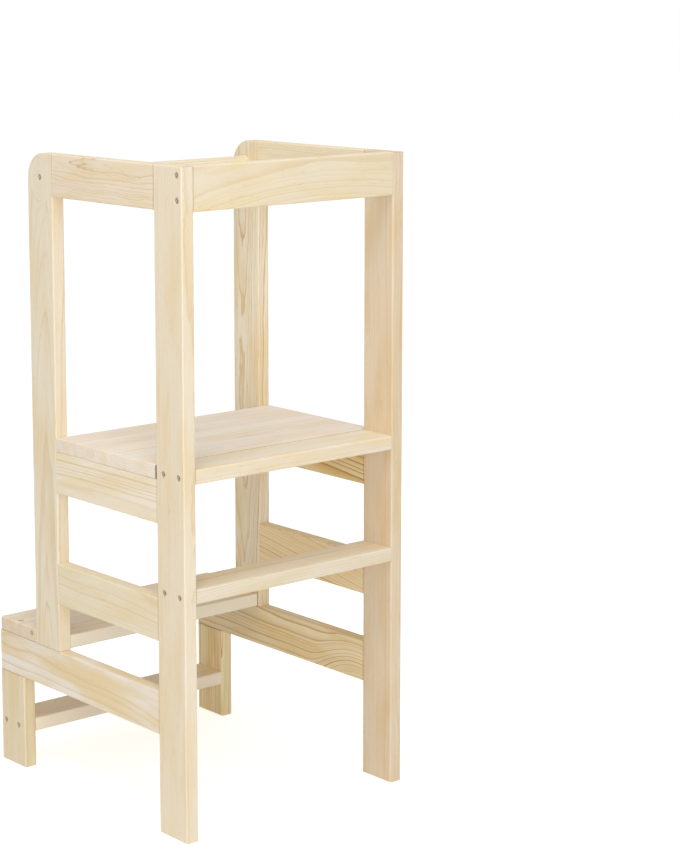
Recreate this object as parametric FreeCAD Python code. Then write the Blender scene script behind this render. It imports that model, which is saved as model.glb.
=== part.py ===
import FreeCAD, Part
import math
import os

# Toddler kitchen helper stool in planed pine. Two dowelled side frames carry a standing platform
# and a step; boards that run across from frame to frame are screwed through the posts.
# X runs across the stool, Y from its front (-) to its rear (+) and Z up. The origin is on the
# floor, under the middle of the stool's outline.

# Overall sizes
overall_height = 910.0
overall_width = 390.0
tower_depth = 355.0           # front face of the front posts to rear face of the rear posts
step_reach = 95.0             # step and short legs behind the rear posts

# Planed boards
board_width = 60.0
board_thickness = 20.0
edge_ease = 2.0               # sanded radius along the edges
post_head_radius = 36.0       # rounded rear corner of each rear post's head

# Heights above the floor
platform_top = 510.0
middle_rail_top = 328.0
lower_rail_top = 198.0
rear_crosspiece_bottom = 52.0

# Platform and step
platform_gap = 2.5            # open seam between the front board and the panel behind it
tread_tongue = 55.0           # how far the tread reaches in between the rear posts
tread_clearance = 1.0         # round the rear posts' feet
tread_corner_radius = 5.0     # the tread's two rear corners, seen from above

# Round safety bar between the rear posts' heads
safety_bar_diameter = 22.0
safety_bar_drop = 34.0        # its centre line below the top of the stool

# Beech dowels, two to each butt joint of a side frame
dowel_diameter = 8.0
dowel_flute_count = 8         # flats round a fluted dowel and its bore
dowel_length = 30.0
dowel_pitch = 32.0
dowel_clearance = 0.05
dowel_end_gap = 1.0           # room for glue at each end of a dowel
panel_dowel_length = 24.0
panel_dowel_depth = 11.0      # how much of a panel dowel stands up into the panel
panel_dowel_inset = 45.0      # from the panel's front and rear edges

# Countersunk wood screws
screw_length = 50.0
screw_shank_diameter = 4.5
screw_head_diameter = 8.6
screw_cone_height = 2.4
screw_tip_height = 6.0
screw_tip_diameter = 1.0
screw_flat_count = 10         # flats round a screw and its hole
screw_recess = 1.0            # the head lies this far below the wood
screw_clearance = 0.1
screw_edge_distance = 11.5    # first screw of a pair from the board's outer edge
screw_pitch = 33.0
tread_screw_distance = 40.5   # tread screw from the tread's rear edge

snap = 0.001                  # lengths below this count as zero

# Planes that the pieces share
outer_side = overall_width / 2
inner_side = outer_side - board_thickness
front_face = -(tower_depth + step_reach) / 2
rear_face = front_face + tower_depth + step_reach
front_post_back = front_face + board_width
rear_post_back = front_face + tower_depth
rear_post_front = rear_post_back - board_width
short_leg_front = rear_face - board_width
panel_front = front_post_back + platform_gap
board_middle_x = outer_side - board_thickness / 2
rear_post_middle_y = rear_post_back - board_width / 2
short_leg_middle_y = rear_face - board_width / 2

platform_bottom = platform_top - board_thickness
lower_rail_bottom = lower_rail_top - board_width
safety_bar_height = overall_height - safety_bar_drop


def at(x, y, z):
    return FreeCAD.Vector(x, y, z)


def span(edge, axis):
    """Lowest and highest place of an edge along an axis."""
    box = edge.BoundBox
    return ((box.XMin, box.XMax), (box.YMin, box.YMax), (box.ZMin, box.ZMax))[axis]


def lies_square_to(edge, axis, place=None):
    """True for an edge in a plane square to the axis, at the place if one is given."""
    low, high = span(edge, axis)
    if high - low > snap:
        return False
    return place is None or abs(low - place) < snap


def eased(board, thin_axis, seated_ends=()):
    """Round the outline of both broad faces, but leave the ends that seat on other pieces square."""
    edges = []
    for edge in board.Edges:
        seated = any(lies_square_to(edge, axis, place) for axis, place in seated_ends)
        if lies_square_to(edge, thin_axis) and not seated:
            edges.append(edge)
    return board.makeFillet(edge_ease, edges)


def block(x_low, x_high, y_low, y_high, z_low, z_high):
    return Part.makeBox(x_high - x_low, y_high - y_low, z_high - z_low, at(x_low, y_low, z_low))


def ring(flats, apothem, height):
    """Corners round Z of a ring of flats, each of them at the apothem's distance from the axis."""
    radius = apothem / math.cos(math.pi / flats)
    angles = [2 * math.pi * number / flats for number in range(flats)]
    return [at(radius * math.cos(angle), radius * math.sin(angle), height) for angle in angles]


def flat_face(corners):
    return Part.Face(Part.makePolygon(corners + corners[:1]))


def faceted(flats, outline):
    """A slender solid about Z, as wide as its (apothem, height) points say, from the bottom up."""
    rings = [ring(flats, apothem, height) for apothem, height in outline]
    faces = [flat_face(rings[0][::-1]), flat_face(rings[-1])]
    for lower, upper in zip(rings, rings[1:]):
        for number in range(flats):
            following = (number + 1) % flats
            faces.append(flat_face([lower[number], lower[following],
                                    upper[following], upper[number]]))
    return Part.Solid(Part.Shell(faces))


def moved(shape, place, turn_axis=None, angle=0):
    """A copy turned about the origin and carried to its place."""
    copy = shape.copy()
    if turn_axis:
        copy.rotate(at(0, 0, 0), turn_axis, angle)
    copy.translate(place)
    return copy


def mirrored(shape):
    """The same piece on the stool's other side."""
    return shape.mirror(at(0, 0, 0), at(1, 0, 0))


# ---- Dowels and their blind bores --------------------------------------------------------------

def dowel(length):
    apothem = dowel_diameter / 2
    return faceted(dowel_flute_count, [(apothem, -length / 2), (apothem, length / 2)])


def dowel_bore(length):
    apothem = dowel_diameter / 2 + dowel_clearance
    half = length / 2 + dowel_end_gap
    return faceted(dowel_flute_count, [(apothem, -half), (apothem, half)])


def rail_joint(place_y, rail_top, shape):
    """Two dowels or bores along Y, where a rail's end meets a post of the left frame."""
    middle = rail_top - board_width / 2
    return [moved(shape, at(-board_middle_x, place_y, middle + offset), at(1, 0, 0), 90)
            for offset in (-dowel_pitch / 2, dowel_pitch / 2)]


def stacked_joint(middle_y, place_z, shape):
    """Two upright dowels or bores, where a post or leg of the left frame meets the lower rail."""
    return [moved(shape, at(-board_middle_x, middle_y + offset, place_z))
            for offset in (-dowel_pitch / 2, dowel_pitch / 2)]


def frame_joints(shape):
    """All the dowels or bores of the left frame."""
    pieces = []
    for rail_top in (overall_height, platform_bottom, middle_rail_top):
        pieces += rail_joint(front_post_back, rail_top, shape)
        pieces += rail_joint(rear_post_front, rail_top, shape)
    pieces += rail_joint(front_post_back, lower_rail_top, shape)
    pieces += stacked_joint(rear_post_middle_y, lower_rail_top, shape)
    pieces += stacked_joint(short_leg_middle_y, lower_rail_bottom, shape)
    return pieces


def panel_joint(shape):
    """The upright dowels or bores that hold the panel on the left platform rail."""
    middle_z = platform_bottom + panel_dowel_depth - panel_dowel_length / 2
    return [moved(shape, at(-board_middle_x, place_y, middle_z))
            for place_y in (panel_front + panel_dowel_inset, rear_post_front - panel_dowel_inset)]


# ---- Screws and their countersunk holes --------------------------------------------------------
# A screw points down from the surface of the wood, at Z 0. Its hole follows it with a clearance.

def screw():
    head = screw_head_diameter / 2
    shank = screw_shank_diameter / 2
    head_top = -screw_recess
    neck = head_top - screw_cone_height
    tip = head_top - screw_length
    return faceted(screw_flat_count, [(screw_tip_diameter / 2, tip), (shank, tip + screw_tip_height),
                                      (shank, neck), (head, head_top)])


def screw_hole():
    """A recess for the head, the head's countersink and a bore for the shank."""
    head = screw_head_diameter / 2 + screw_clearance
    shank = screw_shank_diameter / 2 + screw_clearance
    head_top = -screw_recess
    neck = head_top - screw_cone_height
    end = head_top - screw_length - screw_clearance
    return faceted(screw_flat_count, [(shank, end), (shank, neck), (head, head_top),
                                      (head, screw_recess)])


def into_left_side(shape, place_y, place_z):
    """Turn a screw or hole to enter the left outer face."""
    return moved(shape, at(-outer_side, place_y, place_z), at(0, 1, 0), -90)


def front_rail_fixings(shape):
    middle_y = front_face + board_thickness / 2
    first = overall_height - screw_edge_distance
    return [into_left_side(shape, middle_y, place_z) for place_z in (first, first - screw_pitch)]


def front_board_fixings(shape, board_bottom):
    """Screws into the end of a flat board between the front posts."""
    middle_z = board_bottom + board_thickness / 2
    first = front_face + screw_edge_distance
    return [into_left_side(shape, place_y, middle_z) for place_y in (first, first + screw_pitch)]


def rear_crosspiece_fixings(shape):
    middle_z = rear_crosspiece_bottom + board_thickness / 2
    first = rear_face - screw_edge_distance
    return [into_left_side(shape, place_y, middle_z) for place_y in (first, first - screw_pitch)]


def safety_bar_fixings(shape):
    return [into_left_side(shape, rear_post_middle_y, safety_bar_height)]


def tread_fixings(shape):
    tread_top = lower_rail_top + board_thickness
    return [moved(shape, at(-board_middle_x, rear_face - tread_screw_distance, tread_top))]


# ---- Side frames --------------------------------------------------------------------------------

def side_board(y_low, y_high, z_low, z_high, seated_ends):
    board = block(-outer_side, -inner_side, y_low, y_high, z_low, z_high)
    return eased(board, 0, seated_ends)


def side_rail(rail_top):
    """A rail between the two posts."""
    seated = [(1, front_post_back), (1, rear_post_front)]
    return side_board(front_post_back, rear_post_front, rail_top - board_width, rail_top, seated)


def rear_post():
    """The rear post stands on the lower rail, and its head has one large rounded corner."""
    post = block(-outer_side, -inner_side, rear_post_front, rear_post_back,
                 lower_rail_top, overall_height)
    head_corner = [edge for edge in post.Edges if lies_square_to(edge, 1, rear_post_back)
                   and lies_square_to(edge, 2, overall_height)]
    post = post.makeFillet(post_head_radius, head_corner)
    return eased(post, 0, [(2, lower_rail_top)])


def left_frame():
    return {
        "front_post": side_board(front_face, front_post_back, 0, overall_height, []),
        "rear_post": rear_post(),
        "top_rail": side_rail(overall_height),
        "platform_rail": side_rail(platform_bottom),
        "middle_rail": side_rail(middle_rail_top),
        "lower_rail": side_board(front_post_back, rear_face, lower_rail_bottom, lower_rail_top,
                                 [(1, front_post_back)]),
        "short_leg": side_board(short_leg_front, rear_face, 0, lower_rail_bottom,
                                [(2, lower_rail_bottom)]),
    }


# ---- Boards across the stool --------------------------------------------------------------------

def cross_board(y_low, y_high, z_low, z_high, thin_axis):
    """A board between the two frames, its ends square against their inner faces."""
    board = block(-inner_side, inner_side, y_low, y_high, z_low, z_high)
    return eased(board, thin_axis, [(0, -inner_side), (0, inner_side)])


def platform_panel():
    """Edge-glued panel on the platform rails, its ends flush with the frames' outer faces."""
    panel = block(-outer_side, outer_side, panel_front, rear_post_front,
                  platform_bottom, platform_top)
    return eased(panel, 2)


def step_tread():
    """Edge-glued tread on the lower rails, notched round the rear posts' feet."""
    tongue_side = inner_side - tread_clearance
    tongue_front = rear_post_back - tread_tongue
    notch_back = rear_post_back + tread_clearance
    corners = [(-outer_side, rear_face), (-outer_side, notch_back), (-tongue_side, notch_back),
               (-tongue_side, tongue_front), (tongue_side, tongue_front), (tongue_side, notch_back),
               (outer_side, notch_back), (outer_side, rear_face)]
    points = [at(x, y, lower_rail_top) for x, y in corners]
    tread = Part.Face(Part.makePolygon(points + points[:1])).extrude(at(0, 0, board_thickness))
    rear_corners = [edge for edge in tread.Edges if lies_square_to(edge, 0)
                    and lies_square_to(edge, 1, rear_face)]
    return eased(tread.makeFillet(tread_corner_radius, rear_corners), 2)


def safety_bar():
    return Part.makeCylinder(safety_bar_diameter / 2, 2 * inner_side,
                             at(-inner_side, rear_post_middle_y, safety_bar_height), at(1, 0, 0))


frame_boards = left_frame()
pieces = {}
for name, board in frame_boards.items():
    pieces["left_" + name] = board
    pieces["right_" + name] = mirrored(board)

pieces["front_top_rail"] = cross_board(front_face, front_face + board_thickness,
                                       overall_height - board_width, overall_height, 1)
pieces["platform_front_board"] = cross_board(front_face, front_post_back,
                                             platform_bottom, platform_top, 2)
pieces["platform_panel"] = platform_panel()
pieces["front_crosspiece"] = cross_board(front_face, front_post_back, middle_rail_top,
                                         middle_rail_top + board_thickness, 2)
pieces["step_tread"] = step_tread()
pieces["rear_crosspiece"] = cross_board(short_leg_front, rear_face, rear_crosspiece_bottom,
                                        rear_crosspiece_bottom + board_thickness, 2)
pieces["safety_bar"] = safety_bar()

# Each fixing group is laid out once for the screws and once for the holes that they sit in.
fixing_groups = {
    "front_rail_screws": front_rail_fixings,
    "platform_screws": lambda shape: front_board_fixings(shape, platform_bottom),
    "front_crosspiece_screws": lambda shape: front_board_fixings(shape, middle_rail_top),
    "rear_crosspiece_screws": rear_crosspiece_fixings,
    "safety_bar_screws": safety_bar_fixings,
    "step_tread_screws": tread_fixings,
}

left_bores = frame_joints(dowel_bore(dowel_length)) + panel_joint(dowel_bore(panel_dowel_length))
for layout in fixing_groups.values():
    left_bores += layout(screw_hole())
bores = left_bores + [mirrored(bore) for bore in left_bores]

for name, piece in pieces.items():
    near = [bore for bore in bores if bore.BoundBox.intersect(piece.BoundBox)]
    pieces[name] = piece.cut(near)

for name, layout in fixing_groups.items():
    left_screws = layout(screw())
    pieces[name] = Part.makeCompound(left_screws + [mirrored(one) for one in left_screws])

left_dowels = frame_joints(dowel(dowel_length))
pieces["left_frame_dowels"] = Part.makeCompound(left_dowels)
pieces["right_frame_dowels"] = Part.makeCompound([mirrored(one) for one in left_dowels])
panel_dowels = panel_joint(dowel(panel_dowel_length))
pieces["platform_panel_dowels"] = Part.makeCompound(
    panel_dowels + [mirrored(one) for one in panel_dowels])

os.makedirs("parts", exist_ok=True)
for name, piece in pieces.items():
    piece.exportStep("parts/" + name + ".step")
    print(name, len(piece.Solids), "solid(s)", round(piece.Volume / 1000, 2), "cm3")
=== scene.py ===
import bmesh
import bpy
import math
from mathutils import Matrix, Vector


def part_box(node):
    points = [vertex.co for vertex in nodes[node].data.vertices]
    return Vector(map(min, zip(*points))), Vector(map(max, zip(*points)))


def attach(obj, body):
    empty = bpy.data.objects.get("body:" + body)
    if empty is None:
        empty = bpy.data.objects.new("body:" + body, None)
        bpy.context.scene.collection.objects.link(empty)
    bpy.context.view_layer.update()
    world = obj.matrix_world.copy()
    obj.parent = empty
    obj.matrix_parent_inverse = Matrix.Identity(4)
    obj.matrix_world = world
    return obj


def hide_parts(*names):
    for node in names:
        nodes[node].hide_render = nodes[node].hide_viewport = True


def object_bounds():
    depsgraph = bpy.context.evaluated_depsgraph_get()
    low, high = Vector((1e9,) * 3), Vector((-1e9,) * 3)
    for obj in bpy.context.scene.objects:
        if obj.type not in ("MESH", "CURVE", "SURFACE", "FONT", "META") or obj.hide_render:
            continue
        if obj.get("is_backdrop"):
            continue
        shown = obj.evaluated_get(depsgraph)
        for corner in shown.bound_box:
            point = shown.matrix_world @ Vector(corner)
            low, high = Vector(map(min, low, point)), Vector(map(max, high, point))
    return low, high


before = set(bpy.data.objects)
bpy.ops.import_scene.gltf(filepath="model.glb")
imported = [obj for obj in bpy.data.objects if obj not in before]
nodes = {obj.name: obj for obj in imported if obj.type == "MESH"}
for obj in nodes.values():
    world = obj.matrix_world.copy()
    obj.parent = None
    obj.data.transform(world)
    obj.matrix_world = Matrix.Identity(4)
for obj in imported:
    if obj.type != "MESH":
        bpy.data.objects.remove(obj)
cad_low, cad_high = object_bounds()


# ---- Front posts ---------------------------------------------------------------------------------
# Two full-height posts of planed, untreated pine, 20 by 60 mm, sanded and eased along the edges. The
# left one is cut on the quarter, so its outer face shows only fine, straight, pale year lines.

def linear(hex_colour):
    """An sRGB hex colour as the linear colour that the shader wants."""
    channels = [int(hex_colour[place:place + 2], 16) / 255 for place in (1, 3, 5)]
    turned = [value / 12.92 if value <= 0.04045 else ((value + 0.055) / 1.055) ** 2.4
              for value in channels]
    return (*turned, 1.0)


def add(tree, kind, sockets=None, **settings):
    """Add a node with its settings, and give each of its sockets a value or a link.

    Sockets that share a name go by number: a Mix node's two colours are 6 and 7.
    """
    made = tree.nodes.new("ShaderNode" + kind)
    for name, value in settings.items():
        setattr(made, name, value)
    for name, value in (sockets or {}).items():
        if isinstance(value, bpy.types.NodeSocket):
            tree.links.new(value, made.inputs[name])
        else:
            made.inputs[name].default_value = value
    return made


def empty_material(name):
    """A material with an empty node tree."""
    material = bpy.data.materials.new(name)
    material.use_nodes = True
    material.node_tree.nodes.clear()
    return material


def planed_pine(name, board, along, heart, lean=(0.3, 0.4), ring=2.6, wander=4.0, figure=0.6,
                seed=0.0, early="#F5E9D2", warm="#F2E0BC", late="#DFC292", ripple=1.8, bend=0.0,
                strip=0.0, knot=None, sawn=0.12, joint=0.2, seat=0.0, painted_front_light_and_shade=None):
    """Planed and sanded pine, as a solid texture whose growth rings run on round every edge.

    board is the board's box and along its length's axis. heart is where the tree's pith lies, in mm
    from the board's middle, across its two short axes. lean is how many degrees the pith turns from
    the length, which draws the flames. ring is the width of a year in mm, wander how far the rings
    stray from round in mm, and figure the strength of their lines. seed picks the tree. early
    colours the pale wood, warm the broad patches in it and late the dark lines. ripple is how far
    the fibres bow in mm, and bend how far the trunk does in its first 100 mm. strip is the width of
    the strips of an edge-glued panel. knot gives a knot's centre and size in mm, its weights along
    the three axes and how dark its core is. sawn is how much browner the cut ends are, joint how
    dark the glued line at each end is, and seat how dark the lowest millimetre is, where the board
    lies on another. The last argument paints the faces that look to the front in another colour, to
    the given share: painted light where that colour is paler, painted shade where it is darker.
    """
    material = empty_material(name)
    tree = material.node_tree
    low, high = board
    middle = (low + high) / 2
    half = dict(zip("XYZ", (high - low) / 2))
    turns = {"X": Matrix(((0, 0, 1), (1, 0, 0), (0, 1, 0))),
             "Y": Matrix(((1, 0, 0), (0, 0, 1), (0, -1, 0))),
             "Z": Matrix(((1, 0, 0), (0, 1, 0), (0, 0, 1)))}
    turn = turns[along]
    tilted = turn @ Matrix.Rotation(math.radians(lean[0]), 3, "X") \
        @ Matrix.Rotation(math.radians(lean[1]), 3, "Y")

    # Places are measured in mm from here on, along the pith and twice across it.
    surface = add(tree, "TexCoord")
    measured = add(tree, "Mapping", {"Vector": surface.outputs["Object"], "Location": middle,
                                     "Rotation": tilted.to_euler(), "Scale": (0.001, 0.001, 0.001)},
                   vector_type="TEXTURE")
    from_heart = add(tree, "VectorMath", {0: measured.outputs[0], 1: (heart[0], heart[1], 0)},
                     operation="SUBTRACT")
    if bend:
        # The trunk bows, so the lines climb and then level out along the board.
        lengthwise = add(tree, "SeparateXYZ", {0: measured.outputs[0]})
        bow = add(tree, "Math", {0: lengthwise.outputs["Z"], 1: 2.0}, operation="POWER")
        bowed = add(tree, "Math", {0: bow.outputs[0], 1: -bend / 100 ** 2}, operation="MULTIPLY")
        bow_across = add(tree, "CombineXYZ", {"Y": bowed.outputs[0]})
        from_heart = add(tree, "VectorMath", {0: from_heart.outputs[0], 1: bow_across.outputs[0]},
                         operation="ADD")
    shades = []
    if strip:
        # Each strip of a glued panel comes from another tree, with its own heart, tone and figure.
        strip_spread = (60, 40, 2600)        # mm between one strip's tree and another's
        placed = add(tree, "SeparateXYZ", {0: surface.outputs["Object"]})
        counted = add(tree, "Math", {0: placed.outputs["Y"], 1: 1000 / strip,
                                     2: 0.5 - middle.y * 1000 / strip}, operation="MULTIPLY_ADD")
        number = add(tree, "Math", {0: counted.outputs[0]}, operation="FLOOR")
        tree_number = add(tree, "Math", {0: number.outputs[0], 1: seed}, operation="ADD")
        chance = add(tree, "TexWhiteNoise", {"W": tree_number.outputs[0]}, noise_dimensions="1D")
        chance_shift = add(tree, "VectorMath", {0: chance.outputs["Color"], 1: (0.5, 0.5, 0.5)},
                           operation="SUBTRACT")
        from_heart = add(tree, "VectorMath", {0: chance_shift.outputs[0], 1: strip_spread,
                                              2: from_heart.outputs[0]}, operation="MULTIPLY_ADD")
        back = add(tree, "Math", {0: number.outputs[0], 1: -strip}, operation="MULTIPLY")
        back_across = add(tree, "CombineXYZ", {"X": back.outputs[0]})
        from_heart = add(tree, "VectorMath", {0: from_heart.outputs[0], 1: back_across.outputs[0]},
                         operation="ADD")
        to_seam = add(tree, "Math", {0: counted.outputs[0], 1: 0.5}, operation="PINGPONG")
        seam = add(tree, "MapRange", {"Value": to_seam.outputs[0], "From Min": 0.2 / strip,
                                      "From Max": 0.8 / strip, "To Min": 0.92, "To Max": 1.0})
        strip_tone = add(tree, "MapRange", {"Value": chance.outputs["Value"], "To Min": 0.965,
                                            "To Max": 1.015})
        shades = [seam.outputs[0], strip_tone.outputs[0]]
    tree_step = Vector((91.7, 53.1, 317.0))  # mm between the trees of two seeds
    shifted = add(tree, "VectorMath", {0: from_heart.outputs[0], 1: tree_step * seed},
                  operation="ADD")

    # The rings wander slowly along the trunk, and a little from one bundle of fibres to the next.
    slow_size = (70, 70, 260)
    quick_size = (10, 10, 48)
    slow_place = add(tree, "VectorMath", {0: shifted.outputs[0], 1: slow_size}, operation="DIVIDE")
    slow = add(tree, "TexNoise", {"Vector": slow_place.outputs[0], "Scale": 1.0, "Detail": 1.0})
    slow_shift = add(tree, "VectorMath", {0: slow.outputs["Color"], 1: (0.5, 0.5, 0.5)},
                     operation="SUBTRACT")
    wandering = add(tree, "VectorMath", {0: slow_shift.outputs[0], 1: (wander * 2, wander * 2, 0),
                                         2: from_heart.outputs[0]}, operation="MULTIPLY_ADD")
    quick_place = add(tree, "VectorMath", {0: shifted.outputs[0], 1: quick_size},
                      operation="DIVIDE")
    quick = add(tree, "TexNoise", {"Vector": quick_place.outputs[0], "Scale": 1.0, "Detail": 2.0})
    quick_shift = add(tree, "VectorMath", {0: quick.outputs["Color"], 1: (0.5, 0.5, 0.5)},
                      operation="SUBTRACT")
    wavy = add(tree, "VectorMath", {0: quick_shift.outputs[0], 1: (ripple, ripple, 0),
                                    2: wandering.outputs[0]}, operation="MULTIPLY_ADD")
    section = add(tree, "VectorMath", {0: wavy.outputs[0], 1: (1, 1, 0)}, operation="MULTIPLY")
    radius = add(tree, "VectorMath", {0: section.outputs[0]}, operation="LENGTH").outputs["Value"]
    if knot:
        # The rings swell round a branch, whose own wood can be dark and resinous.
        centre, knot_size, weights, darkness = knot
        swell_height = 1.2                   # in knot sizes, as the reach
        swell_reach = 2.2
        from_knot = add(tree, "VectorMath", {0: surface.outputs["Object"],
                                             1: Vector(centre) / 1000}, operation="SUBTRACT")
        weighed = add(tree, "VectorMath", {0: from_knot.outputs[0],
                                           1: Vector(weights) * 1000 / knot_size},
                      operation="MULTIPLY")
        distance = add(tree, "VectorMath", {0: weighed.outputs[0]}, operation="LENGTH")
        swell = add(tree, "MapRange", {"Value": distance.outputs["Value"],
                                       "From Max": swell_reach, "To Min": 1.0, "To Max": 0.0},
                    interpolation_type="SMOOTHERSTEP")
        radius = add(tree, "Math", {0: swell.outputs[0], 1: knot_size * swell_height, 2: radius},
                     operation="MULTIPLY_ADD").outputs[0]
        core = add(tree, "MapRange", {"Value": distance.outputs["Value"], "From Min": 0.25,
                                      "From Max": 0.5, "To Min": darkness, "To Max": 0.0})

    # Wide and narrow years: the ring count grows unevenly with the radius.
    years_pace = 0.31                        # steps of the pattern to a year
    years_gain = 2.6                         # how many years a run of narrow ones gains
    tree_pace = 7.3                          # steps between the trees of two seeds
    count = add(tree, "Math", {0: radius, 1: 1 / ring}, operation="MULTIPLY")
    years_place = add(tree, "Math", {0: count.outputs[0], 1: years_pace, 2: seed * tree_pace},
                      operation="MULTIPLY_ADD")
    years = add(tree, "TexNoise", {"W": years_place.outputs[0], "Scale": 1.0, "Detail": 1.0},
                noise_dimensions="1D")
    uneven = add(tree, "Math", {0: years.outputs["Fac"], 1: years_gain, 2: count.outputs[0]},
                 operation="MULTIPLY_ADD")
    within = add(tree, "Math", {0: uneven.outputs[0]}, operation="FRACT")
    year = add(tree, "Math", {0: uneven.outputs[0]}, operation="FLOOR")
    strength = add(tree, "TexWhiteNoise", {"W": year.outputs[0]}, noise_dimensions="1D")

    # Pale earlywood darkens slowly into the thin latewood line, which ends sharply.
    profile = add(tree, "ValToRGB", {"Fac": within.outputs[0]})
    stops = profile.color_ramp
    stops.interpolation = "EASE"
    stops.elements[0].position = 0.30
    stops.elements[0].color = (0, 0, 0, 1)
    stops.elements[1].position = 0.90
    stops.elements[1].color = (1, 1, 1, 1)
    for position, value in ((0.68, 0.22), (0.95, 1.0), (1.0, 0.0)):
        stop = stops.elements.new(position)
        stop.color = (value, value, value, 1)
    share = add(tree, "MapRange", {"Value": strength.outputs["Value"], "To Min": 0.2 * figure,
                                   "To Max": figure})
    line = add(tree, "Math", {0: profile.outputs["Color"], 1: share.outputs[0]},
               operation="MULTIPLY")

    # Broad warm patches lie in the pale wood, and the latewood lines over both.
    patch_size = (26, 26, 140)
    patch_place = add(tree, "VectorMath", {0: shifted.outputs[0], 1: patch_size},
                      operation="DIVIDE")
    patches = add(tree, "TexNoise", {"Vector": patch_place.outputs[0], "Scale": 1.0, "Detail": 2.0})
    patch = add(tree, "MapRange", {"Value": patches.outputs["Fac"], "From Min": 0.38,
                                   "From Max": 0.70}, interpolation_type="SMOOTHSTEP")
    ground = add(tree, "Mix", {"Factor": patch.outputs[0], 6: linear(early), 7: linear(warm)},
                 data_type="RGBA")
    ringed = add(tree, "Mix", {"Factor": line.outputs[0], 6: ground.outputs[2], 7: linear(late)},
                 data_type="RGBA", clamp_factor=False)

    # Fibres are 0.03 mm wide. They are drawn 0.8 mm wide, so that the streaks they make show.
    fibre_size = (0.8, 0.8, 36)
    fibre_place = add(tree, "VectorMath", {0: shifted.outputs[0], 1: fibre_size},
                      operation="DIVIDE")
    fibres = add(tree, "TexNoise", {"Vector": fibre_place.outputs[0], "Scale": 1.0, "Detail": 3.0,
                                    "Roughness": 0.6})
    fibre = add(tree, "MapRange", {"Value": fibres.outputs["Fac"], "From Min": 0.3, "From Max": 0.7,
                                   "To Min": 0.965, "To Max": 1.02})
    # Resin canals are 0.2 mm wide and are drawn 0.7 mm wide, as short brown dashes. They are the
    # peaks of a pattern that is twice as wide.
    canal_size = (1.4, 1.4, 11)
    canal_place = add(tree, "VectorMath", {0: shifted.outputs[0], 1: canal_size},
                      operation="DIVIDE")
    canals = add(tree, "TexNoise", {"Vector": canal_place.outputs[0], "Scale": 1.0, "Detail": 0.0})
    canal = add(tree, "MapRange", {"Value": canals.outputs["Fac"], "From Min": 0.72,
                                   "From Max": 0.80, "To Min": 1.0, "To Max": 0.90})

    # The eased edges are drawn a little paler and smoother. A line is drawn between two depths under
    # the skin, in metres.
    arris_start = 0.0028
    arris_full = 0.0008
    from_middle = add(tree, "VectorMath", {0: surface.outputs["Object"], 1: middle},
                      operation="SUBTRACT")
    to_faces = add(tree, "VectorMath", {0: from_middle.outputs[0]}, operation="ABSOLUTE")
    apart = add(tree, "SeparateXYZ", {0: to_faces.outputs[0]})
    near = [add(tree, "MapRange", {"Value": apart.outputs[axis],
                                   "From Min": half[axis] - arris_start,
                                   "From Max": half[axis] - arris_full})
            for axis in "XYZ" if axis != along]
    arris = add(tree, "Math", {0: near[0].outputs[0], 1: near[1].outputs[0]}, operation="MULTIPLY")
    paler_edges = add(tree, "Math", {0: arris.outputs[0], 1: 0.025, 2: 1.0}, operation="MULTIPLY_ADD")

    # Glue and pores darken the last millimetre at each end, where one board meets the next. So does
    # the shade in the lowest millimetre of a board that lies on another.
    joint_start = 0.0010
    joint_full = 0.0004
    seat_start = 0.0016
    seat_full = 0.0005
    end_facing = add(tree, "VectorMath", {0: surface.outputs["Normal"], 1: turn @ Vector((0, 0, 1))},
                     operation="DOT_PRODUCT")
    end_size = add(tree, "Math", {0: end_facing.outputs["Value"]}, operation="ABSOLUTE")
    beside_end = add(tree, "MapRange", {"Value": end_size.outputs[0], "From Min": 0.3,
                                        "From Max": 0.6, "To Min": -joint, "To Max": 0.0})
    at_end = add(tree, "MapRange", {"Value": apart.outputs[along],
                                    "From Min": half[along] - joint_start,
                                    "From Max": half[along] - joint_full})
    end_line = add(tree, "Math", {0: beside_end.outputs[0], 1: at_end.outputs[0], 2: 1.0},
                   operation="MULTIPLY_ADD")
    shades += [canal.outputs[0], paler_edges.outputs[0], end_line.outputs[0]]
    if seat:
        upright = add(tree, "SeparateXYZ", {0: from_middle.outputs[0]})
        seat_line = add(tree, "MapRange", {"Value": upright.outputs["Z"],
                                           "From Min": seat_full - half["Z"],
                                           "From Max": seat_start - half["Z"],
                                           "To Min": 1 - seat, "To Max": 1.0})
        shades.append(seat_line.outputs[0])
    shade = fibre.outputs[0]
    for part in shades:
        shade = add(tree, "Math", {0: shade, 1: part}, operation="MULTIPLY").outputs[0]
    wood = add(tree, "VectorMath", {0: ringed.outputs[2], 1: shade}, operation="MULTIPLY").outputs[0]
    if knot:
        wood = add(tree, "Mix", {"Factor": core.outputs[0], 6: wood, 7: linear("#98744A")},
                   data_type="RGBA").outputs[2]

    # Cut ends drink in the light: their open pores make them darker and browner.
    end_share = add(tree, "MapRange", {"Value": end_size.outputs[0], "From Min": 0.6,
                                       "From Max": 0.95, "To Max": sawn})
    wood = add(tree, "Mix", {"Factor": end_share.outputs[0], 6: wood, 7: linear("#CDAB78")},
               data_type="RGBA").outputs[2]
    # Painted light and shade: faces that look to the front are drawn in another colour, paler as
    # painted light, darker as painted shade.
    if painted_front_light_and_shade:
        painted_front_colour, painted_front_strength = painted_front_light_and_shade
        facing = add(tree, "SeparateXYZ", {0: surface.outputs["Normal"]})
        painted_front_share = add(tree, "MapRange", {"Value": facing.outputs["Y"], "From Min": -0.98,
                                             "From Max": -0.55, "To Min": painted_front_strength,
                                             "To Max": 0.0})
        wood = add(tree, "Mix", {"Factor": painted_front_share.outputs[0], 6: wood,
                                 7: linear(painted_front_colour)}, data_type="RGBA").outputs[2]

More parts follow.
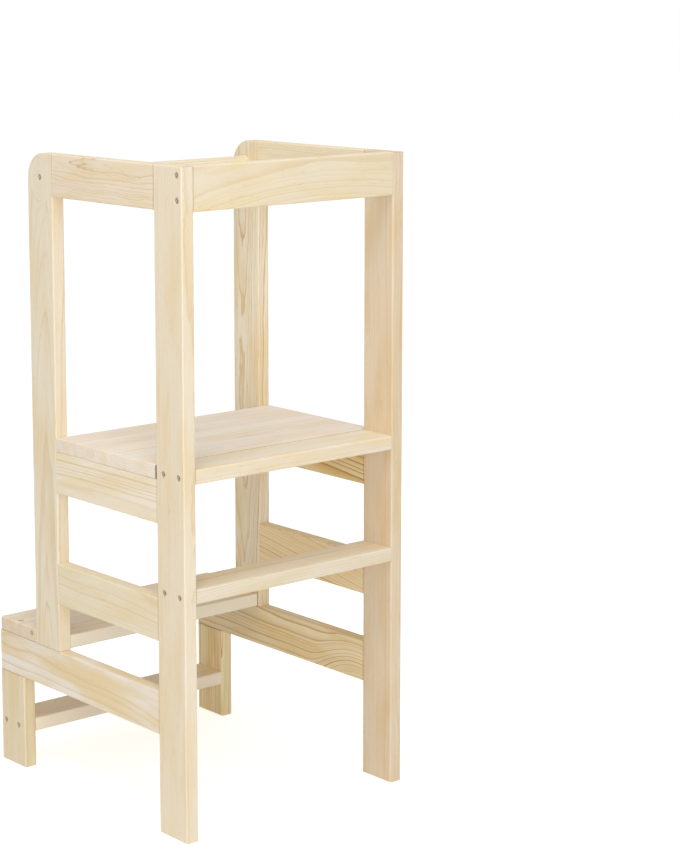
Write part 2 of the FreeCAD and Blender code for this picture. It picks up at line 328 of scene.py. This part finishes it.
    # Sanding leaves the hard latewood a hair proud and a little smoother than the rest, so bare pine
    # is matt, with a dull shine along its dark lines.
    relief = add(tree, "Math", {0: line.outputs[0], 1: 0.6, 2: fibres.outputs["Fac"]},
                 operation="MULTIPLY_ADD")
    bump = add(tree, "Bump", {"Height": relief.outputs[0], "Strength": 0.22, "Distance": 0.0002})
    gloss = add(tree, "MapRange", {"Value": line.outputs[0], "To Min": 0.62, "To Max": 0.50})
    polished = add(tree, "Math", {0: arris.outputs[0], 1: -0.08, 2: gloss.outputs[0]},
                   operation="MULTIPLY_ADD")
    skin = add(tree, "BsdfPrincipled", {"Base Color": wood,
                                        "Roughness": polished.outputs[0], "IOR": 1.5,
                                        "Specular IOR Level": 0.3, "Normal": bump.outputs[0]})
    add(tree, "OutputMaterial", {"Surface": skin.outputs[0]})
    return material


def dress(node, material):
    """Give a CAD piece its finish in every one of its material slots."""
    for slot in nodes[node].material_slots:
        slot.material = material


dress("left_front_post", planed_pine(
    "planed_pine_left_front_post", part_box("left_front_post"), "Z", (14, 120), lean=(0.15, 0.3),
    ring=2.8, wander=3.0, figure=0.45, seed=1.0, early="#F3E6CE", warm="#F0DDB9", late="#DDBF8F"))
dress("right_front_post", planed_pine(
    "planed_pine_right_front_post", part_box("right_front_post"), "Z", (26, 62), lean=(0.2, 0.7),
    ring=3.0, wander=5.0, figure=0.75, seed=2.3, early="#EAD8BE", warm="#E5CCA4", late="#DABE96"))


# ---- Rear posts ----------------------------------------------------------------------------------
# The rear posts are of the same planed pine, with one large rounded corner at the head. They stand on
# the lower rails, on two dowels each. They are flat-sawn, so long flames show on their broad faces.

dress("left_rear_post", planed_pine(
    "planed_pine_left_rear_post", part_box("left_rear_post"), "Z", (44, -4), lean=(0.2, 1.7),
    ring=3.0, wander=6.0, figure=0.5, seed=3.1, early="#F3E7D1", warm="#F0DEBB", late="#DDC192",
    knot=((-195, 101, 872), 11, (0, 1, 0.5), 0.0), joint=0.4))
dress("right_rear_post", planed_pine(
    "planed_pine_right_rear_post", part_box("right_rear_post"), "Z", (-38, 6), lean=(0.3, 1.9),
    ring=3.6, wander=9.0, figure=0.9, seed=8.0, early="#F5EAD3", warm="#F0DCB4", late="#D5B178",
    ripple=4.5))


# ---- Side rails ----------------------------------------------------------------------------------
# Four rails of the same 20 by 60 mm pine join the posts of each side frame, glued and dowelled end to
# edge. The lowest one runs on under the rear post and carries the step. Each is from its own tree.

rail_cuts = {
    "left_top_rail": {
        "heart": (40, -24), "lean": (0.6, 0.8), "ring": 2.6, "wander": 6.0, "figure": 1.0,
        "seed": 18.7, "early": "#F4E5CD", "warm": "#F0DCB7", "late": "#D9BA8F", "ripple": 5.0,
        "joint": 0.5},
    "left_platform_rail": {
        "heart": (30, 22), "lean": (0.1, 0.2), "ring": 3.6, "wander": 2.0, "figure": 0.95,
        "seed": 6.4, "early": "#F9EEDA", "warm": "#F6E5C3", "late": "#E3C798"},
    "left_middle_rail": {
        "heart": (40, -28), "lean": (0.5, 0.9), "ring": 3.2, "wander": 5.0, "figure": 0.55,
        "seed": 14.4, "early": "#F2E6CB", "warm": "#EFDDB6", "late": "#DDBF8E"},
    "left_lower_rail": {
        "heart": (50, -22), "lean": (0.3, 1.3), "ring": 5.0, "wander": 7.0, "figure": 0.75,
        "seed": 22.0, "early": "#F7EFE4", "warm": "#EFD9AE", "late": "#E1C79E"},
    "right_top_rail": {
        "heart": (-50, 30), "seed": 9.1, "early": "#F7E9CD", "warm": "#F4E0B7",
        "late": "#E1C28E"},
    # In part painted shade: this rail's darker, warmer colours are matched where it lies in the shade
    # under the platform. The rest is the wood's own tone.
    "right_platform_rail": {
        "heart": (30, 44), "lean": (8.0, 2.4), "ring": 7.5, "wander": 6.0, "figure": 1.4,
        "seed": 20.9, "early": "#EFDCAE", "warm": "#E7CB90", "late": "#B6863F"},
    "right_middle_rail": {
        "heart": (20, 60), "lean": (10.0, 1.6), "ring": 3.4, "wander": 5.0, "figure": 1.15,
        "seed": 21.7, "early": "#F8E3B8", "warm": "#F8E3BA", "late": "#D8AE6F"},
    "right_lower_rail": {
        "heart": (30, -44), "lean": (0.8, 1.0), "ring": 5.8, "wander": 6.0, "figure": 1.1,
        "seed": 23.0, "early": "#F6E5C0", "warm": "#EFD5A1", "late": "#C99E60",
        "knot": ((175, -150, 122), 44, (0, 0.8, 1), 0.0)},
}
for node, cut in rail_cuts.items():
    dress(node, planed_pine("planed_pine_" + node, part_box(node), "Y", **cut))


# ---- Short legs ----------------------------------------------------------------------------------
# Two short legs of the same pine stand under the rear ends of the lower rails and carry the step.
# Each has two dowels in its top end. Their feet are eased like the ones of the posts.

dress("left_short_leg", planed_pine(
    "planed_pine_left_short_leg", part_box("left_short_leg"), "Z", (30, 75), ring=3.2, seed=14.2,
    early="#EFE1C3", warm="#ECD8AE", late="#DABB87"))
# In part painted shade: this leg's warmer, more saturated colours are matched where it stands in the
# shade under the step. The rest is the wood's own tone.
dress("right_short_leg", planed_pine(
    "planed_pine_right_short_leg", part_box("right_short_leg"), "Z", (-24, -40), lean=(0.5, 2.0),
    ring=3.2, figure=1.0, seed=15.7, early="#FDECC0", warm="#F7DA9E", late="#CE9F5A"))


# ---- Dowels --------------------------------------------------------------------------------------
# Fluted dowels of 8 mm beech, glued into the side frames' butt joints and under the platform panel.
# Beech is pinkish brown and close-grained, with small dark flecks where the rays are cut.

beech = empty_material("fluted_beech_dowel")
tree = beech.node_tree
surface = add(tree, "TexCoord")
# The flecks are 0.8 mm wide and 2.4 mm long, in clouds of 6 mm.
fleck_place = add(tree, "VectorMath", {0: surface.outputs["Object"], 1: (1250, 1250, 420)},
                  operation="MULTIPLY")
flecks = add(tree, "TexNoise", {"Vector": fleck_place.outputs[0], "Scale": 1.0, "Detail": 2.0})
fleck = add(tree, "MapRange", {"Value": flecks.outputs["Fac"], "From Min": 0.56, "From Max": 0.66})
cloud_place = add(tree, "VectorMath", {0: surface.outputs["Object"], 1: (160, 160, 160)},
                  operation="MULTIPLY")
clouds = add(tree, "TexNoise", {"Vector": cloud_place.outputs[0], "Scale": 1.0, "Detail": 2.0})
beech_ground = add(tree, "Mix", {"Factor": clouds.outputs["Fac"], 6: linear("#DDB68C"),
                                 7: linear("#CFA377")}, data_type="RGBA")
beech_colour = add(tree, "Mix", {"Factor": fleck.outputs[0], 6: beech_ground.outputs[2],
                                 7: linear("#A97B52")}, data_type="RGBA")
beech_bump = add(tree, "Bump", {"Height": flecks.outputs["Fac"], "Strength": 0.2,
                                "Distance": 0.0001})
beech_skin = add(tree, "BsdfPrincipled", {"Base Color": beech_colour.outputs[2], "Roughness": 0.6,
                                          "Specular IOR Level": 0.3,
                                          "Normal": beech_bump.outputs[0]})
add(tree, "OutputMaterial", {"Surface": beech_skin.outputs[0]})
for node in ("left_frame_dowels", "right_frame_dowels", "platform_panel_dowels"):
    dress(node, beech)


# ---- Front top rail ------------------------------------------------------------------------------
# An upright pine board between the heads of the front posts, screwed through both of them. It is
# flat-sawn, so a long flame rises along it from the left.

dress("front_top_rail", planed_pine(
    "planed_pine_front_top_rail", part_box("front_top_rail"), "X", (34, 34), lean=(-3.3, 0.6),
    ring=4.6, figure=0.48, seed=24.0, early="#F1E4CA", warm="#EFDDB3", late="#DEC08D", bend=-5.6))


# ---- Safety bar ----------------------------------------------------------------------------------
# A turned and sanded round bar of pine, 22 mm thick, between the rear posts' heads. One screw
# through each post holds it.

dress("safety_bar", planed_pine(
    "turned_pine_safety_bar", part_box("safety_bar"), "X", (9, 5), ring=3.0, figure=0.7, seed=18.4))


# ---- Platform ------------------------------------------------------------------------------------
# A pine board between the front posts and, behind a narrow open seam, a panel that is glued up from
# five strips. The panel lies on the platform rails, and its sawn ends show at the sides. The seam is
# too narrow for its shade to show, so the panel's front edge is darker.

dress("platform_front_board", planed_pine(
    "planed_pine_platform_front_board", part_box("platform_front_board"), "X", (30, 48),
    lean=(0.3, 0.5), ring=3.4, figure=0.5, seed=19.8, early="#F4EAD8"))
panel_strips = 5
panel_low, panel_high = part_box("platform_panel")
dress("platform_panel", planed_pine(
    "edge_glued_pine_platform", (panel_low, panel_high), "X", (0, 42), lean=(0.6, 0.3), ring=3.2,
    figure=0.5, seed=20.6, early="#FBF0E1", warm="#F8E7CF", late="#E0C49D",
    strip=(panel_high.y - panel_low.y) * 1000 / panel_strips, sawn=0.04,
    # Painted shade: the panel's face that looks to the front is drawn dark brown.
    painted_front_light_and_shade=("#4E3A26", 0.55)))


# ---- Front crosspiece ----------------------------------------------------------------------------
# A flat pine board between the front posts, well below the platform. It stiffens the tower and is
# screwed through the posts.

dress("front_crosspiece", planed_pine(
    "planed_pine_front_crosspiece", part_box("front_crosspiece"), "X", (25, 50), ring=3.6,
    seed=21.9, early="#EFE4CF", warm="#ECDBB9", late="#D9BD90"))


# ---- Step ----------------------------------------------------------------------------------------
# The tread is glued up from three pine strips, notched round the rear posts and screwed down on the
# lower rails. A flat crosspiece between the short legs stiffens it. The faces of both that look to
# the front are painted paler, as painted light.

tread_strips = 3
tread_low, tread_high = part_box("step_tread")
dress("step_tread", planed_pine(
    "edge_glued_pine_step_tread", (tread_low, tread_high), "X", (0, 36), lean=(0.5, 0.4), ring=3.4,
    seed=23.4, early="#F6EAD7", warm="#F1DFC2", late="#DEC090",
    strip=(tread_high.y - tread_low.y) * 1000 / tread_strips,
    knot=((-195, 141, 211), 10, (0.4, 1, 1), 0.6), sawn=0.22, seat=0.45,
    # Painted light: the tread's face that looks to the front is drawn paler.
    painted_front_light_and_shade=("#FFF9E8", 0.85)))
# Painted light: the crosspiece's colours are all drawn paler, as light in the shade under the tread.
dress("rear_crosspiece", planed_pine(
    "planed_pine_rear_crosspiece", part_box("rear_crosspiece"), "X", (-28, 45), ring=3.6,
    figure=0.5, seed=24.7, early="#FFEFD2", warm="#FFE5BA", late="#F8CC96",
    # Painted light: the face that looks to the front is drawn paler still.
    painted_front_light_and_shade=("#FFF5E4", 0.7)))


# ---- Screws --------------------------------------------------------------------------------------
# Countersunk wood screws, 4.5 by 50 mm, of zinc-plated steel with a cross recess and a coarse thread.
# They hold the boards that run across, and their heads sit a little below the wood's surface.

screw_pitch = 0.033          # between the two screws of a board's end
tread_screw_inset = 0.010    # from the stool's side
head_radius = 0.0043
head_depth = 0.0010          # below the wood's surface, as all the depths that follow
head_rim = 0.0003
neck_radius = 0.0022
neck_depth = 0.0034
neck_taper = 0.0004
smooth_radius = 0.0016
smooth_end = 0.0180
smooth_taper = 0.0008
core_radius = 0.0014
point_start = 0.0462
point_end = 0.0510
sides_round = 24
cross_length = 0.0023        # from the middle to the end of an arm
cross_width = 0.0006         # half an arm's width
cross_depth = 0.0018
cross_taper = 0.5            # how small the recess's floor is beside its mouth
thread_radius = 0.0022
thread_gap = 0.0012          # between the smooth shank and the first turn
thread_rise = 0.0022         # for each turn of the thread
thread_turns = 12
steps_a_turn = 12
blade_root = 0.9             # of the core's radius, so that the blade starts inside it
blade_half = 0.0004          # half the blade's thickness at its root
sharp_angle = 35

outline = ((0, -point_end), (core_radius, -point_start),
           (core_radius, -smooth_end - smooth_taper), (smooth_radius, -smooth_end),
           (smooth_radius, -neck_depth - neck_taper), (neck_radius, -neck_depth),
           (head_radius, -head_depth - head_rim), (head_radius, -head_depth))
turned = bmesh.new()
points = [turned.verts.new((radius, 0, height)) for radius, height in outline]
sides = [turned.edges.new(pair) for pair in zip(points, points[1:])]
bmesh.ops.spin(turned, geom=points + sides, cent=(0, 0, 0), axis=(0, 0, 1), dvec=(0, 0, 0),
               angle=2 * math.pi, steps=sides_round, use_merge=True)
bmesh.ops.remove_doubles(turned, verts=turned.verts[:], dist=0.00001)

# The cross recess tapers down from the head's flat top.
rim = [edge for edge in turned.edges if edge.is_boundary]
long, wide = cross_length, cross_width
corners = ((long, -wide), (long, wide), (wide, wide), (wide, long), (-wide, long), (-wide, wide),
           (-long, wide), (-long, -wide), (-wide, -wide), (-wide, -long), (wide, -long),
           (wide, -wide))
lip_points = [turned.verts.new((x, y, -head_depth)) for x, y in corners]
lips = [turned.edges.new(pair) for pair in zip(lip_points, lip_points[1:] + lip_points[:1])]
bmesh.ops.triangle_fill(turned, use_beauty=True, edges=rim + lips)
walls = bmesh.ops.extrude_edge_only(turned, edges=lips)["geom"]
bottom_points = [part for part in walls if isinstance(part, bmesh.types.BMVert)]
bottom_edges = [part for part in walls if isinstance(part, bmesh.types.BMEdge)
                and all(point in bottom_points for point in part.verts)]
bmesh.ops.scale(turned, verts=bottom_points, vec=(cross_taper, cross_taper, 1))
bmesh.ops.translate(turned, verts=bottom_points, vec=(0, 0, -cross_depth))
bmesh.ops.contextual_create(turned, geom=bottom_edges)

# The thread is a thin blade, wound down round the core.
thread_start = -smooth_end - thread_gap
blade = [turned.verts.new((radius, 0, thread_start + rise))
         for radius, rise in ((core_radius * blade_root, -blade_half), (thread_radius, 0),
                              (core_radius * blade_root, blade_half))]
blade_edges = [turned.edges.new(pair) for pair in zip(blade, blade[1:] + blade[:1])]
bmesh.ops.spin(turned, geom=blade + blade_edges, cent=(0, 0, 0), axis=(0, 0, 1),
               dvec=(0, 0, -thread_rise / steps_a_turn), angle=2 * math.pi * thread_turns,
               steps=thread_turns * steps_a_turn, use_merge=False)
bmesh.ops.holes_fill(turned, edges=[edge for edge in turned.edges if edge.is_boundary], sides=3)
bmesh.ops.recalc_face_normals(turned, faces=turned.faces[:])
for face in turned.faces:
    face.smooth = True
one_screw = bpy.data.meshes.new("wood_screw")
turned.to_mesh(one_screw)
turned.free()

# Zinc plating over steel goes dull and grey-brown indoors, with a soft shine in patches 1.1 mm wide.
zinc = empty_material("dull_zinc_plated_steel")
tree = zinc.node_tree
surface = add(tree, "TexCoord")
patch_place = add(tree, "VectorMath", {0: surface.outputs["Object"], 1: (900, 900, 900)},
                  operation="MULTIPLY")
patches = add(tree, "TexNoise", {"Vector": patch_place.outputs[0], "Scale": 1.0, "Detail": 2.0})
zinc_colour = add(tree, "Mix", {"Factor": patches.outputs["Fac"], 6: linear("#978D7E"),
                                7: linear("#BDB4A5")}, data_type="RGBA")
zinc_gloss = add(tree, "MapRange", {"Value": patches.outputs["Fac"], "To Min": 0.34,
                                    "To Max": 0.52})
zinc_bump = add(tree, "Bump", {"Height": patches.outputs["Fac"], "Strength": 0.15,
                               "Distance": 0.0001})
zinc_skin = add(tree, "BsdfPrincipled", {"Base Color": zinc_colour.outputs[2], "Metallic": 1.0,
                                         "Roughness": zinc_gloss.outputs[0],
                                         "Normal": zinc_bump.outputs[0]})
add(tree, "OutputMaterial", {"Surface": zinc_skin.outputs[0]})

# A flat board's two screws lie side by side, and the upright rail's one above the other.
into_left = Matrix.Rotation(math.radians(-90), 4, "Y")
into_right = Matrix.Rotation(math.radians(90), 4, "Y")
side_by_side = ((0, -1, 0), (0, 1, 0))
one_above_other = ((0, 0, -1), (0, 0, 1))
alone = ((0, 0, 0),)
screw_layouts = {"front_rail_screws": one_above_other,
                 "platform_screws": side_by_side,
                 "front_crosspiece_screws": side_by_side,
                 "rear_crosspiece_screws": side_by_side,
                 "safety_bar_screws": alone}
screw_places = {}
for node, layout in screw_layouts.items():
    low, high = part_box(node)
    middle = (low + high) / 2
    spots = [middle + Vector(shift) * screw_pitch / 2 for shift in layout]
    screw_places[node] = [Matrix.Translation((cad_low.x, spot.y, spot.z)) @ into_left
                          for spot in spots]
    screw_places[node] += [Matrix.Translation((cad_high.x, spot.y, spot.z)) @ into_right
                           for spot in spots]
low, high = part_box("step_tread_screws")
screw_places["step_tread_screws"] = [
    Matrix.Translation((x, (low.y + high.y) / 2, high.z + head_depth))
    for x in (cad_low.x + tread_screw_inset, cad_high.x - tread_screw_inset)]

for node, places in screw_places.items():
    group = bmesh.new()
    for place in places:
        already = len(group.verts)
        group.from_mesh(one_screw)
        group.verts.ensure_lookup_table()
        bmesh.ops.transform(group, matrix=place, verts=group.verts[already:])
    group_mesh = bpy.data.meshes.new(node + "_threaded")
    group.to_mesh(group_mesh)
    group.free()
    group_mesh.set_sharp_from_angle(angle=math.radians(sharp_angle))
    group_mesh.materials.append(zinc)
    screw_group = bpy.data.objects.new(node + "_threaded", group_mesh)
    bpy.context.scene.collection.objects.link(screw_group)
    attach(screw_group, "root")
    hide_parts(node)


# ---- Floor, light and camera ---------------------------------------------------------------------
# A plain white studio floor and a soft, even light, seen as the photograph sees the stool. The floor
# keeps a faint shadow at the feet.

floor_half = 12.0
plane = bmesh.new()
bmesh.ops.create_grid(plane, x_segments=1, y_segments=1, size=floor_half)
floor_mesh = bpy.data.meshes.new("floor")
plane.to_mesh(floor_mesh)
plane.free()
floor = bpy.data.objects.new("floor", floor_mesh)
bpy.context.scene.collection.objects.link(floor)
floor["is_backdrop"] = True


def on_view(tree):
    """1 for the rays that show a thing itself: straight, in a gloss or through glass."""
    seen = add(tree, "LightPath")
    straight_or_glossy = add(tree, "Math", {0: seen.outputs["Is Camera Ray"],
                                            1: seen.outputs["Is Glossy Ray"]},
                             operation="MAXIMUM")
    return add(tree, "Math", {0: straight_or_glossy.outputs[0],
                              1: seen.outputs["Is Transmission Ray"]},
               operation="MAXIMUM").outputs[0]


# Matt white paper scatters the light evenly. It is lifted to white where it is looked at, but throws
# no more light on the stool.
paper = empty_material("white_paper_floor")
tree = paper.node_tree
matt = add(tree, "BsdfDiffuse", {"Color": linear("#F4F2EE")})
lift = add(tree, "Emission", {"Color": (1, 1, 1, 1), "Strength": 0.61})
both = add(tree, "AddShader", {0: matt.outputs[0], 1: lift.outputs[0]})
floor_mix = add(tree, "MixShader", {0: on_view(tree), 1: matt.outputs[0], 2: both.outputs[0]})
add(tree, "OutputMaterial", {"Surface": floor_mix.outputs[0]})
floor_mesh.materials.append(paper)

world = bpy.data.worlds.new("studio")
bpy.context.scene.world = world
world.use_nodes = True
tree = world.node_tree
tree.nodes.clear()
ambient = add(tree, "Background", {"Color": (1, 1, 1, 1), "Strength": 0.48})
backdrop = add(tree, "Background", {"Color": (1, 1, 1, 1), "Strength": 1.0})
world_mix = add(tree, "MixShader", {0: on_view(tree), 1: ambient.outputs[0],
                                    2: backdrop.outputs[0]})
add(tree, "OutputWorld", {"Surface": world_mix.outputs[0]})


def softbox(name, place, aim, size, power):
    """A square studio lamp that looks at a point on the stool."""
    lamp = bpy.data.lights.new(name, "AREA")
    lamp.size = size
    lamp.energy = power
    lamp_object = bpy.data.objects.new(name, lamp)
    lamp_object.location = place
    lamp_object.rotation_euler = (Vector(aim) - Vector(place)).to_track_quat("-Z", "Y").to_euler()
    bpy.context.scene.collection.objects.link(lamp_object)


softbox("front_softbox", (-2.0, -3.1, 0.9), (0, 0, 0.4), 2.4, 48)
softbox("top_softbox", (-1.0, -0.9, 3.1), (0, 0, 0.6), 1.8, 36)

camera = bpy.data.cameras.new("camera")
camera.lens = 96.469
camera.sensor_width = 36.0
camera.shift_x = 0.11457
camera.shift_y = -0.12721
camera_object = bpy.data.objects.new("camera", camera)
camera_object.location = (-1.95481, -2.52543, 1.14669)
camera_object.rotation_euler = tuple(math.radians(angle) for angle in (81.5814, 0.2784, -39.0196))
bpy.context.scene.collection.objects.link(camera_object)
bpy.context.scene.camera = camera_object

bpy.context.scene.view_settings.view_transform = "Standard"

low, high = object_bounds()
